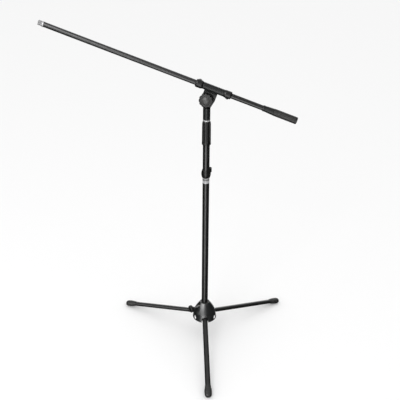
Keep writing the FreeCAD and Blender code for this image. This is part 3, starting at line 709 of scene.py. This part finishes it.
def height_grip():
    """The twist grip: a step at its lower edge, broad flutes and a rounded shoulder."""
    low, high, inner, outer = extent("height_grip", POLE)
    top_r = outer - 0.8
    cone_top = high - 6.6
    cone_base, body_top = low + 56.3, low + 50.2
    cone_top_r, cone_base_r, body_r = 9.85, 11.35, 12.6
    mouth_r, mouth_up = inner + 3.0, low + 3.0
    outline = [
        (mouth_r, low, 0.3),
        (outer - 0.6, low, 0.5),
        (outer, low + 1.2, 0.6),
        (outer - 0.1, low + 6.4, 0.8),
        (outer - 0.7, low + 7.4, 0.8),
        (outer - 0.25, low + 8.6, 0.8),
        (top_r, high - 10.0, 20.0),
        (top_r - 0.7, high - 4.0, 5.0),
        (top_r - 2.6, high, 1.2),
        (inner, high, 0.4),
        (inner, cone_top),
        (cone_top_r, cone_top),
        (cone_base_r, cone_base),
        (cone_base_r, body_top),
        (body_r, body_top),
        (body_r, mouth_up),
        (mouth_r, mouth_up),
    ]
    groove = flutes(GRIP_FLUTES, GRIP_FLUTE_DEPTH, low + 14.0, high + 1.0, 4.0, 0.52)

    def shape(angle, r, z):
        outside = r > body_r + 0.05 or (z > cone_top + 0.1 and r > cone_top_r + 0.05)
        return groove(angle, r, z) if outside else r

    return show("height_grip", lathe(split_rows(rounded(outline), 2.0), 160, shape), POLE)


def cable_clip():
    """The bowl-shaped clip: a snap ring with a split, and an ear with a hole for the cable."""
    low, high, bore, reach = extent("cable_clip", POLE)
    rim = high - 3.2
    bowl = lathe([
        (bore, low), (bore + 1.6, low), (14.5, low + 5.5), (15.4, low + 11.0), (15.2, low + 17.0),
        (13.8, low + 22.5), (bore + 1.4, high - 4.0), (bore + 1.0, rim), (bore, rim),
    ])
    far = max(local_points("cable_clip", POLE), key=lambda p: p.xy.length)
    ear_r, ear_len, hole_r = 5.2, 15.0, 3.2
    ear = turned(rod(ear_r, ear_len, upright(reach - ear_r, high - ear_len)), azimuth(far))
    hole_in = 4.6
    hole = turned(rod(hole_r, 30.0, upright(reach - hole_in, high - CUT_PAST)), azimuth(far))
    core = rod(bore, 80.0, upright(0, low - CUT_PAST), SEGMENTS)
    split_half, split_azimuth = 1.6, 130
    split = turned(block((5, 25), (-split_half, split_half), (low - 5, high + 5)), split_azimuth)
    body = combined(bowl, [ear], "UNION")
    body = combined(body, [core, hole, split], "DIFFERENCE")
    return show("cable_clip", softened(body, 0.35, 3), POLE, 180.0)


# ---- tilt joint ----

def swivel_base():
    """The round neck that narrows to a flat tongue behind the cheek."""
    low = extent("swivel_base", SWIVEL)[0]
    pivot = joint_point("boom_tilt", SWIVEL).z
    shoulder = low + 39.0
    neck_r, neck_top = 11.4, pivot - 8
    tongue_r, tongue_front, tongue_back = 18.4, 0.6, 10.5
    clear = 30
    neck = lathe([(0, low), (neck_r - 0.5, low), (neck_r, low + 0.6), (neck_r, neck_top), (0, neck_top)])
    front = block((-clear, clear), (-clear, tongue_front), (shoulder, pivot + clear))
    body = combined(neck, [front], "DIFFERENCE")
    tongue = rod(tongue_r, tongue_back - tongue_front, sideways(0, tongue_front, pivot), SEGMENTS)
    web = block((-neck_r, neck_r), (tongue_front, tongue_back), (shoulder - 4, pivot))
    body = combined(body, [tongue, web], "UNION")
    tube_r = extent("upper_tube", SWIVEL)[3] + 0.02
    holes = [
        rod(tube_r, 28.0, upright(0, low - 1)),
        rod(BOLT_R + 0.02, 2 * clear, sideways(0, -clear, pivot)),
    ]
    body = combined(body, holes, "DIFFERENCE")
    return show("swivel_base", softened(body, 0.45, 4), SWIVEL, 180.0)


def pivot_bolt():
    """The bolt: a chamfered hexagonal head at the back, and a shank through the joint."""
    low, high, _, reach = extent("pivot_bolt", PIVOT)
    flat = reach * math.cos(math.pi / 6)
    head_top = low + 5.3
    outline = [
        (0, low), (reach * 0.86, low), (reach, low + 0.7), (reach, head_top),
        (BOLT_R, head_top), (BOLT_R, high - 0.6), (BOLT_R - 0.6, high), (0, high),
    ]

    def hexagon(angle, r, z):
        if r <= BOLT_R + 0.01 or z > head_top + 0.1:
            return r
        side = flat / math.cos((angle % (TAU / 6)) - TAU / 12)
        return min(r, side)

    return show("pivot_bolt", lathe(rounded(outline, 0.15), 120, hexagon), PIVOT)


def tilt_knob():
    """The clamping knob: a narrow back, a lobed rim with softened edges and a recessed face."""
    low, high, inner, outer = extent("tilt_knob", PIVOT)
    rim, rim_r = low + 1.8, 16.0
    recess, recess_r = high - 1.9, 13.5
    outline = [
        (inner, low), (13.0, low, 0.4), (rim_r, rim, 0.6), (outer - 0.8, rim, 0.4), (outer, rim + 1.0, 0.8),
        (outer - 0.3, high - 2.7, 1.6), (outer - 2.0, high - 0.9, 1.2), (recess_r, high, 0.3),
        (recess_r, recess), (inner, recess),
    ]
    lobes = flutes(TILT_KNOB_LOBES, TILT_KNOB_DEPTH, rim - 0.5, high + 1, 0.6, 0.55)

    def shape(angle, r, z):
        return lobes(angle, r, z) if r > rim_r + 0.2 else r

    return show("tilt_knob", lathe(split_rows(rounded(outline), 1.5), 168, shape), PIVOT)


def tilt_knob_cap():
    """The cap pressed in the knob's face: a low dome inside a narrow turned edge."""
    low, high, _, outer = extent("tilt_knob_cap", PIVOT)
    hollow = high - 4.3
    outline = [
        (0, high), (5.0, high - 0.25, 9.0), (outer - 4.4, high - 1.5, 9.0), (outer - 1.5, high - 3.6, 2.0),
        (outer - 1.1, high - 4.6, 0.3), (outer - 0.2, high - 5.0, 0.4), (outer, high - 5.6, 0.3),
        (outer, low), (5.0, low), (5.0, hollow), (0, hollow),
    ]
    return show("tilt_knob_cap", lathe(rounded(outline), 96), PIVOT)


# ---- boom holder, in the boom's axes: x is away from the pivot, y faces the knob's side ----

def cheek_outline(pivot, left, right, top):
    """The cheek's edge: straight down from the flange, round at the lower left, one eased lower corner."""
    radius, low_right, corner, taper = 20.0, 21.0, 4.0, 5.0
    points = [(top, left)]
    first = math.atan2(left, -math.sqrt(radius ** 2 - left ** 2))
    last = -math.pi
    steps = 16
    for i in range(steps + 1):
        angle = first + (last - first) * i / steps
        points.append((radius * math.cos(angle), radius * math.sin(angle)))
    corner_steps = 6
    for i in range(corner_steps + 1):
        angle = math.pi / 2 * i / corner_steps
        x = corner - radius - corner * math.cos(angle)
        points.append((x, low_right - corner + corner * math.sin(angle)))
    points += [(taper, right), (top, right)]
    return [(pivot.x + x, pivot.z + z) for x, z in points]


def boom_holder():
    """The casting on the boom: a sleeve between two collars, a flanged web and the cheek of the joint."""
    low, high, bore, _ = extent("boom_holder", BOOM)
    pivot = joint_point("boom_tilt", BOOM)
    end_r, sleeve_r, end_len = 9.6, 10.7, 15.5
    left, right = -16.4, 25.0
    flange_low, flange_thick = 21.5, 3.7
    flange_back, flange_front, flange_corner = -10.0, 13.0, 3.0
    cheek_back, cheek_front = 0.5, 11.0
    web_half, overlap, clear = 7.0, 1, 30
    sleeve = lathe([
        (bore, low), (end_r, low), (end_r, low + end_len), (sleeve_r, low + end_len),
        (sleeve_r, high - end_len), (end_r, high - end_len), (end_r, high), (bore, high),
    ])
    rim = rounded([
        (flange_back, left), (flange_front, left), (flange_front, right), (flange_back, right),
    ], flange_corner)
    flange = prism([(z, y) for y, z in rim], flange_low, flange_low + flange_thick)
    flange.transform(Matrix(((0, 1, 0, pivot.x), (0, 0, 1, 0), (1, 0, 0, pivot.z), (0, 0, 0, 1))))
    web_x = (pivot.x + flange_low + overlap, -overlap)
    web_z = (pivot.z + left + overlap, pivot.z + right - overlap)
    web = block(web_x, (-web_half, web_half), web_z)
    cheek = prism(cheek_outline(pivot, left, right, flange_low + overlap), cheek_back, cheek_front)
    body = combined(sleeve, [web, flange, cheek], "UNION")
    holes = [
        rod(bore, 200.0, upright(0, low - CUT_PAST), SEGMENTS),
        rod(BOLT_R + 0.08, 2 * clear, sideways(pivot.x, -clear, pivot.z)),
    ]
    body = combined(body, holes, "DIFFERENCE")
    return show("boom_holder", softened(body, 0.5, 4), BOOM, 180.0)


def boom_collar(node, into):
    """A screwed collar at one end of the holder: a tapering ring with a lug to turn it by."""
    low, high, bore, _ = extent(node, BOOM)
    end, far = (low, high) if into > 0 else (high, low)
    lug_points = [p for p in local_points(node, BOOM) if p.xy.length > 13.5]
    lug_side = 1 if sum(p.x for p in lug_points) > 0 else -1
    radius = 12.6 if lug_side > 0 else 11.9
    thread_r, lip = 9.68, 1.7
    lug_r, lug_thick, lug_along = 7.0, 7.0, 10.35

    def at(distance):
        return end + into * distance

    ring = lathe([
        (bore, end), (radius - 2.2, end), (radius - 0.5, at(1.6)), (radius, at(4.0)), (radius, at(18.0)),
        (11.0, far), (thread_r, far), (thread_r, at(6.4)), (9.0, at(lip)), (bore, at(lip)),
    ])
    lug_at = local_axes((lug_side * (radius - 4.4), -lug_thick / 2, at(lug_along)), Y, X)
    lug = rod(lug_r, lug_thick, lug_at)
    core = rod(radius - 0.5, 60.0, upright(0, low - 15), SEGMENTS)
    lug = combined(lug, [core], "DIFFERENCE")
    body = combined(ring, [lug], "UNION")
    return show(node, softened(body, 0.35, 4), BOOM, 180.0)


# ---- boom ----

def mic_thread():
    """The threaded tip, with a real helix cut in it, a turned-down lead and a bore."""
    low, high, bore, outer = extent("mic_thread", BOOM)
    shoulder = extent("mic_thread_ring", BOOM)[0]
    thread_end = shoulder - 0.02
    plug = extent("boom_tube", BOOM)[2] - 0.02
    outline = rounded([
        (bore, low, 0.3), (outer - 0.7, low, 0.2), (outer, low + 0.7, 0.2), (outer, thread_end),
        (plug, thread_end), (plug, high), (bore, high),
    ])
    cut = screw_thread(MIC_PITCH, MIC_THREAD_DEPTH, low + 0.3, shoulder - 0.3, outer)
    return show("mic_thread", lathe(split_rows(outline, MIC_PITCH / 6), 96, cut), BOOM, 60.0)


def counterweight_core():
    """The weight's nose: a small collar where the boom enters, a waist and a long taper."""
    low, high, _, outer = extent("counterweight_core", BOOM)
    nose = extent("counterweight_sleeve", BOOM)[0]
    bore = extent("boom_tube", BOOM)[3] + 0.02
    core_r = extent("counterweight_sleeve", BOOM)[2] - 0.02
    inside = nose - 0.5
    outline = rounded([
        (0, high), (core_r, high), (core_r, nose), (outer, nose, 0.3), (outer, nose - 3.0, 3.0),
        (8.9, low + 6.0, 0.8), (9.3, low + 5.0, 0.5), (9.3, low + 1.0, 0.5), (8.7, low, 0.3),
        (bore, low, 0.2), (bore, inside), (0, inside),
    ])
    return show("counterweight_core", lathe(outline), BOOM)


def counterweight_sleeve():
    """The weight's rubber sleeve, with shallow grooves winding round it."""
    low, high, inner, outer = extent("counterweight_sleeve", BOOM)
    outline = rounded([
        (inner, low), (outer - 0.4, low, 0.3), (outer, low + 0.8, 0.4), (outer, high, 0.4), (inner, high),
    ])
    starts, lead, depth, half = 8, 60.0, 0.4, 0.16

    def grooves(angle, r, z):
        if r < outer - 0.45:
            return r
        turn = (angle / TAU * starts + (z - low) / lead * starts) % 1.0
        cut = max(0.0, 1 - abs(turn - 0.5) / half)
        fade = smooth_step(z, low + 3, low + 5) * (1 - smooth_step(z, high - 5, high - 3))
        return r - depth * smooth_step(cut, 0.0, 1.0) * fade

    return show("counterweight_sleeve", lathe(split_rows(outline, 1.0), 144, grooves), BOOM)


def counterweight_cap():
    """The weight's end cap, with a rounded rim and a face that is slightly dished."""
    low, high, _, outer = extent("counterweight_cap", BOOM)
    outline = rounded([
        (0, low), (outer, low, 0.3), (outer, high - 1.2, 0.8), (outer - 1.1, high, 0.8), (0, high - 0.25),
    ])
    return show("counterweight_cap", lathe(outline), BOOM)


# ---- thumbscrew ----

def thumbscrew_shank():
    """The thumbscrew's shank, with a real helix cut in its inner end."""
    low, high, _, outer = extent("thumbscrew_shank", SCREW)
    outline = rounded([
        (0, low), (outer - 0.5, low, 0.2), (outer, low + 0.55, 0.2), (outer, high, 0.1), (0, high),
    ])
    cut = screw_thread(SCREW_PITCH, SCREW_THREAD_DEPTH, low + 0.4, high - 11.0, outer)
    return show("thumbscrew_shank", lathe(split_rows(outline, SCREW_PITCH / 6), 48, cut), SCREW, 60.0)


def thumbscrew_knob():
    """The thumbscrew's knob: a short neck, a fluted rim and a face dished inside a raised edge."""
    low, high, bore, outer = extent("thumbscrew_knob", SCREW)
    back, front = low + 5.0, high - 1.7
    shank_end = extent("thumbscrew_shank", SCREW)[1] + 0.05
    outline = rounded([
        (0, front + 1.6), (6.0, front + 0.6, 3.0), (outer - 4.2, front - 0.5, 0.5),
        (outer - 3.4, front + 0.2, 0.5), (outer - 1.6, front, 1.0), (outer, front - 1.6, 1.2),
        (outer, back + 1.4, 1.0), (outer - 1.4, back, 0.8), (6.2, back - 0.6, 0.6), (5.6, low, 0.5),
        (bore, low, 0.2), (bore, shank_end), (0, shank_end),
    ])
    grip = flutes(SCREW_KNOB_FLUTES, SCREW_KNOB_DEPTH, back - 1.0, high + 1.0, 0.8, 0.55)

    def shape(angle, r, z):
        return grip(angle, r, z) if r > outer - 3.6 else r

    return show("thumbscrew_knob", lathe(split_rows(outline, 1.5), 160, shape), SCREW)


# ---- legs ----

def oval_ring(bm, x_half, y_half, z, count=64, square=2.0):
    """A ring of vertices round an oval; `square` over 2 fills its corners out."""
    ring = []
    for i in range(count):
        angle = TAU * i / count
        c, s = math.cos(angle), math.sin(angle)
        x = x_half * math.copysign(abs(c) ** (2 / square), c)
        y = y_half * math.copysign(abs(s) ** (2 / square), s)
        ring.append(bm.verts.new((x, y, z)))
    return ring


def leg_tube(name):
    """A hollow oval tube with its ends eased."""
    at = leg_axes(name)
    low, high, _, _ = extent("leg_tube_" + name, at)
    bm = bmesh.new()
    half_h, half_w = LEG_H / 2, LEG_W / 2
    ease = 0.4
    rows = [
        (0, low + ease), (0, high - ease), (ease, high), (LEG_WALL - 0.1, high), (LEG_WALL, high - 0.2),
        (LEG_WALL, low + 0.2), (LEG_WALL - 0.1, low), (ease, low),
    ]
    rings = [oval_ring(bm, half_h - inset, half_w - inset, z) for inset, z in rows]
    for first, second in zip(rings, rings[1:] + rings[:1]):
        bridge(bm, first, second)
    return show("leg_tube_" + name, mesh_from(bm), at)


def boot_size(t):
    """The boot's half height and half width at a share of its length, less its grooves."""
    for (t0, h0, w0), (t1, h1, w1) in zip(BOOT_SECTIONS, BOOT_SECTIONS[1:]):
        if t <= t1:
            s = smooth_step(t, t0, t1) * 0.5 + (t - t0) / (t1 - t0) * 0.5
            h, w = h0 + (h1 - h0) * s, w0 + (w1 - w0) * s
            break
    cut = sum(BOOT_GROOVE_DEPTH * max(0.0, 1 - ((t - g) / BOOT_GROOVE_HALF) ** 2) for g in BOOT_GROOVES)
    return h - cut, w - cut


def press_seam(ring, t):
    """Sinks the moulding seam in a ring of the boot, above and below, beyond the last groove."""
    start = BOOT_GROOVES[-1]
    if t <= start:
        return
    depth = BOOT_SEAM_DEPTH * smooth_step(t, start, start + 0.05) * (1 - smooth_step(t, 0.95, 1.0))
    for vertex in ring:
        inside = max(0.0, 1 - (vertex.co.y / BOOT_SEAM_HALF) ** 2)
        vertex.co.x -= math.copysign(depth * inside, vertex.co.x)


def foot(name):
    """The rubber boot: a lip, a swelling body with two grooves round it and a seam, and a flat sole."""
    node = "foot_" + name
    at = leg_axes(name)
    low, high, _, _ = extent(node, at)
    bm = bmesh.new()
    rows, count = 64, 72
    rings = []
    for i in range(rows + 1):
        t = i / rows
        ring = oval_ring(bm, *boot_size(t), low + t * (high - low), count, BOOT_SQUARE)
        press_seam(ring, t)
        rings.append(ring)
    tube_end = extent("leg_tube_" + name, at)[1] + 0.05
    bore_h, bore_w = LEG_H / 2 + 0.02, LEG_W / 2 + 0.02
    socket = [
        [bm.verts.new((0, 0, tube_end))],
        oval_ring(bm, bore_h, bore_w, tube_end, count),
        oval_ring(bm, bore_h, bore_w, low, count),
    ]
    tip = [bm.verts.new((0, 0, high))]
    whole = socket + rings + [tip]
    for first, second in zip(whole, whole[1:]):
        bridge(bm, first, second)
    mesh = mesh_from(bm)
    mesh.transform(at)
    for vertex in mesh.vertices:
        vertex.co.z = max(vertex.co.z, 0.0)
    mesh.transform(at.inverted())
    return show(node, mesh, at, 50.0)


def carried_over():
    """CAD nodes that mostly sit inside the stand keep their shape, with eased edges and a real finish."""
    for name, node in frame["nodes"].items():
        if node.hide_render:
            continue
        node.data.materials.clear()
        node.data.materials.append(MATERIALS[slot_of[name]])
        ease = node.modifiers.new("ease", "BEVEL")
        ease.width = 0.15 * MM
        ease.segments = 2
        ease.limit_method = "ANGLE"
        ease.angle_limit = math.radians(50)
        ease.harden_normals = False


# ======== stage ========

CAMERA_TURN = math.radians(2.6)       # how far round the stand the camera stands, from straight in front
CAMERA_AWAY = 2.026
CAMERA_UP = 1.693
CAMERA_YAW = math.radians(2.07)
CAMERA_DIP = math.radians(29.5)
CAMERA_ROLL = math.radians(0.34)
CAMERA_LENS = 64.35
SURROUND = 1.0                        # how bright the white surround is on dull surfaces
ROOM_GLOW = 0.02                      # how bright it is in reflections, away from the soft lights
SOFTBOXES = (
    # compass direction, half widths (full, none) in degrees, heights (none, full, full, none), brightness
    (-15, (7, 24), (-0.85, -0.6, 0.0, 0.25), 4.2),
    (-46, (12, 50), (0.02, 0.68, 0.85, 0.98), 6.2),
    (172, (14, 34), (-0.85, -0.5, 0.5, 0.8), 2.0),
)
CEILING = (0.5, 0.95, 0.8)            # heights (none, full) and brightness of the glow overhead
LAMP_AT = (-1.2, -2.4, 2.6)
LAMP_TARGET = (0, 0, 0.6)
LAMP_SIZE = 1.2
LAMP_POWER = 22.0
FLOOR_HALF = 30.0
FLOOR_DROP = 0.0005                   # keeps the floor just under the soles
FLOOR_TONE = 0.92


def camera():
    """A long lens in front of the stand, looking down on it."""
    data = bpy.data.cameras.new("camera")
    data.lens = CAMERA_LENS
    data.sensor_width = 36.0
    data.clip_start = 0.01
    data.clip_end = 100.0
    eye = bpy.data.objects.new("camera", data)
    bpy.context.scene.collection.objects.link(eye)
    away = Vector((-math.sin(CAMERA_TURN), -math.cos(CAMERA_TURN), 0)) * CAMERA_AWAY
    eye.location = away + Vector((0, 0, CAMERA_UP))
    look = Matrix.Rotation(-CAMERA_YAW, 4, "Z") @ Matrix.Rotation(math.pi / 2 - CAMERA_DIP, 4, "X")
    eye.rotation_euler = (look @ Matrix.Rotation(CAMERA_ROLL, 4, "Z")).to_euler()
    bpy.context.scene.camera = eye


def lamp(name, at, target, size, power):
    """A soft square lamp that faces a point."""
    data = bpy.data.lights.new(name, "AREA")
    data.shape = "SQUARE"
    data.size = size
    data.energy = power
    light = bpy.data.objects.new(name, data)
    light.location = at
    light.rotation_euler = (Vector(target) - Vector(at)).to_track_quat("-Z", "Y").to_euler()
    bpy.context.scene.collection.objects.link(light)


def eased(tree, source, low, high, start, end):
    """Like ramp, but easing in and out."""
    value = ramp(tree, source, low, high, start, end)
    value.node.interpolation_type = "SMOOTHSTEP"
    return value


def plain_maths(tree, operation, first, second):
    """Arithmetic on two outputs that may go above one."""
    value = maths(tree, operation, first, second)
    value.node.use_clamp = False
    return value


def softbox(tree, facing, height, compass, spread, heights, strength):
    """The glow of a soft light that stands in one direction, for the world's shader."""
    toward = tree.nodes.new("ShaderNodeVectorMath")
    toward.operation = "DOT_PRODUCT"
    angle = math.radians(compass)
    toward.inputs[1].default_value = (math.sin(angle), -math.cos(angle), 0)
    tree.links.new(facing, toward.inputs[0])
    core, edge = (math.cos(math.radians(degrees)) for degrees in spread)
    glow = eased(tree, toward.outputs["Value"], edge, core, 0.0, strength)
    rise = eased(tree, height, heights[0], heights[1], 0.0, 1.0)
    fall = eased(tree, height, heights[2], heights[3], 1.0, 0.0)
    return plain_maths(tree, "MULTIPLY", plain_maths(tree, "MULTIPLY", glow, rise), fall)


def surround():
    """A white surround that shows in reflections as a dim room with soft lights in front and behind."""
    world = bpy.data.worlds.new("studio")
    world.use_nodes = True
    bpy.context.scene.world = world
    tree = world.node_tree
    nodes, links = tree.nodes, tree.links
    place = nodes.new("ShaderNodeTexCoord")
    level = nodes.new("ShaderNodeVectorMath")
    level.operation = "MULTIPLY"
    level.inputs[1].default_value = (1, 1, 0.0)
    links.new(place.outputs["Generated"], level.inputs[0])
    facing = nodes.new("ShaderNodeVectorMath")
    facing.operation = "NORMALIZE"
    links.new(level.outputs["Vector"], facing.inputs[0])
    split = nodes.new("ShaderNodeSeparateXYZ")
    links.new(place.outputs["Generated"], split.inputs["Vector"])
    height = split.outputs["Z"]
    low, high, overhead = CEILING
    total = eased(tree, height, low, high, ROOM_GLOW, overhead)
    for box in SOFTBOXES:
        total = plain_maths(tree, "ADD", total, softbox(tree, facing.outputs["Vector"], height, *box))
    path = nodes.new("ShaderNodeLightPath")
    pick = nodes.new("ShaderNodeMix")
    pick.inputs["A"].default_value = SURROUND
    links.new(path.outputs["Is Glossy Ray"], pick.inputs["Factor"])
    links.new(total, pick.inputs["B"])
    background = nodes["Background"]
    background.inputs["Color"].default_value = (1, 1, 1, 1)
    links.new(pick.outputs["Result"], background.inputs["Strength"])


def studio():
    """A pale floor in a white surround, with one soft lamp at the camera's upper left."""
    surround()
    bm = bmesh.new()
    bmesh.ops.create_grid(bm, x_segments=4, y_segments=4, size=FLOOR_HALF)
    floor = bpy.data.objects.new("floor", mesh_from(bm, "floor"))
    floor.location.z = -FLOOR_DROP
    floor.visible_glossy = False
    tree = new_tree("floor")
    shader = tree.nodes["Principled BSDF"]
    shader.inputs["Base Color"].default_value = (FLOOR_TONE, FLOOR_TONE, FLOOR_TONE, 1)
    shader.inputs["Roughness"].default_value = 0.9
    shader.inputs["Specular IOR Level"].default_value = 0.0
    floor.data.materials.append(bpy.data.materials["floor" + FINISH])
    bpy.context.scene.collection.objects.link(floor)
    lamp("key", LAMP_AT, LAMP_TARGET, LAMP_SIZE, LAMP_POWER)
    bpy.context.scene.view_settings.view_transform = "Standard"


def build():
    """Every finished piece of the stand."""
    hub_housing()
    tube("lower_tube", POLE)
    label_band()
    cable_clip()
    height_grip()
    tube("upper_tube", POLE)
    tube("swivel_ring", POLE, 0.6)
    swivel_base()
    pivot_bolt()
    tilt_knob()
    tilt_knob_cap()
    boom_holder()
    boom_collar("boom_collar_front", 1)
    boom_collar("boom_collar_rear", -1)
    tube("boom_tube", BOOM)
    mic_thread()
    tube("mic_thread_ring", BOOM, 0.5)
    counterweight_core()
    counterweight_sleeve()
    counterweight_cap()
    thumbscrew_shank()
    thumbscrew_knob()
    for name in LEGS:
        leg_tube(name)
        foot(name)
    carried_over()


build()
camera()
studio()
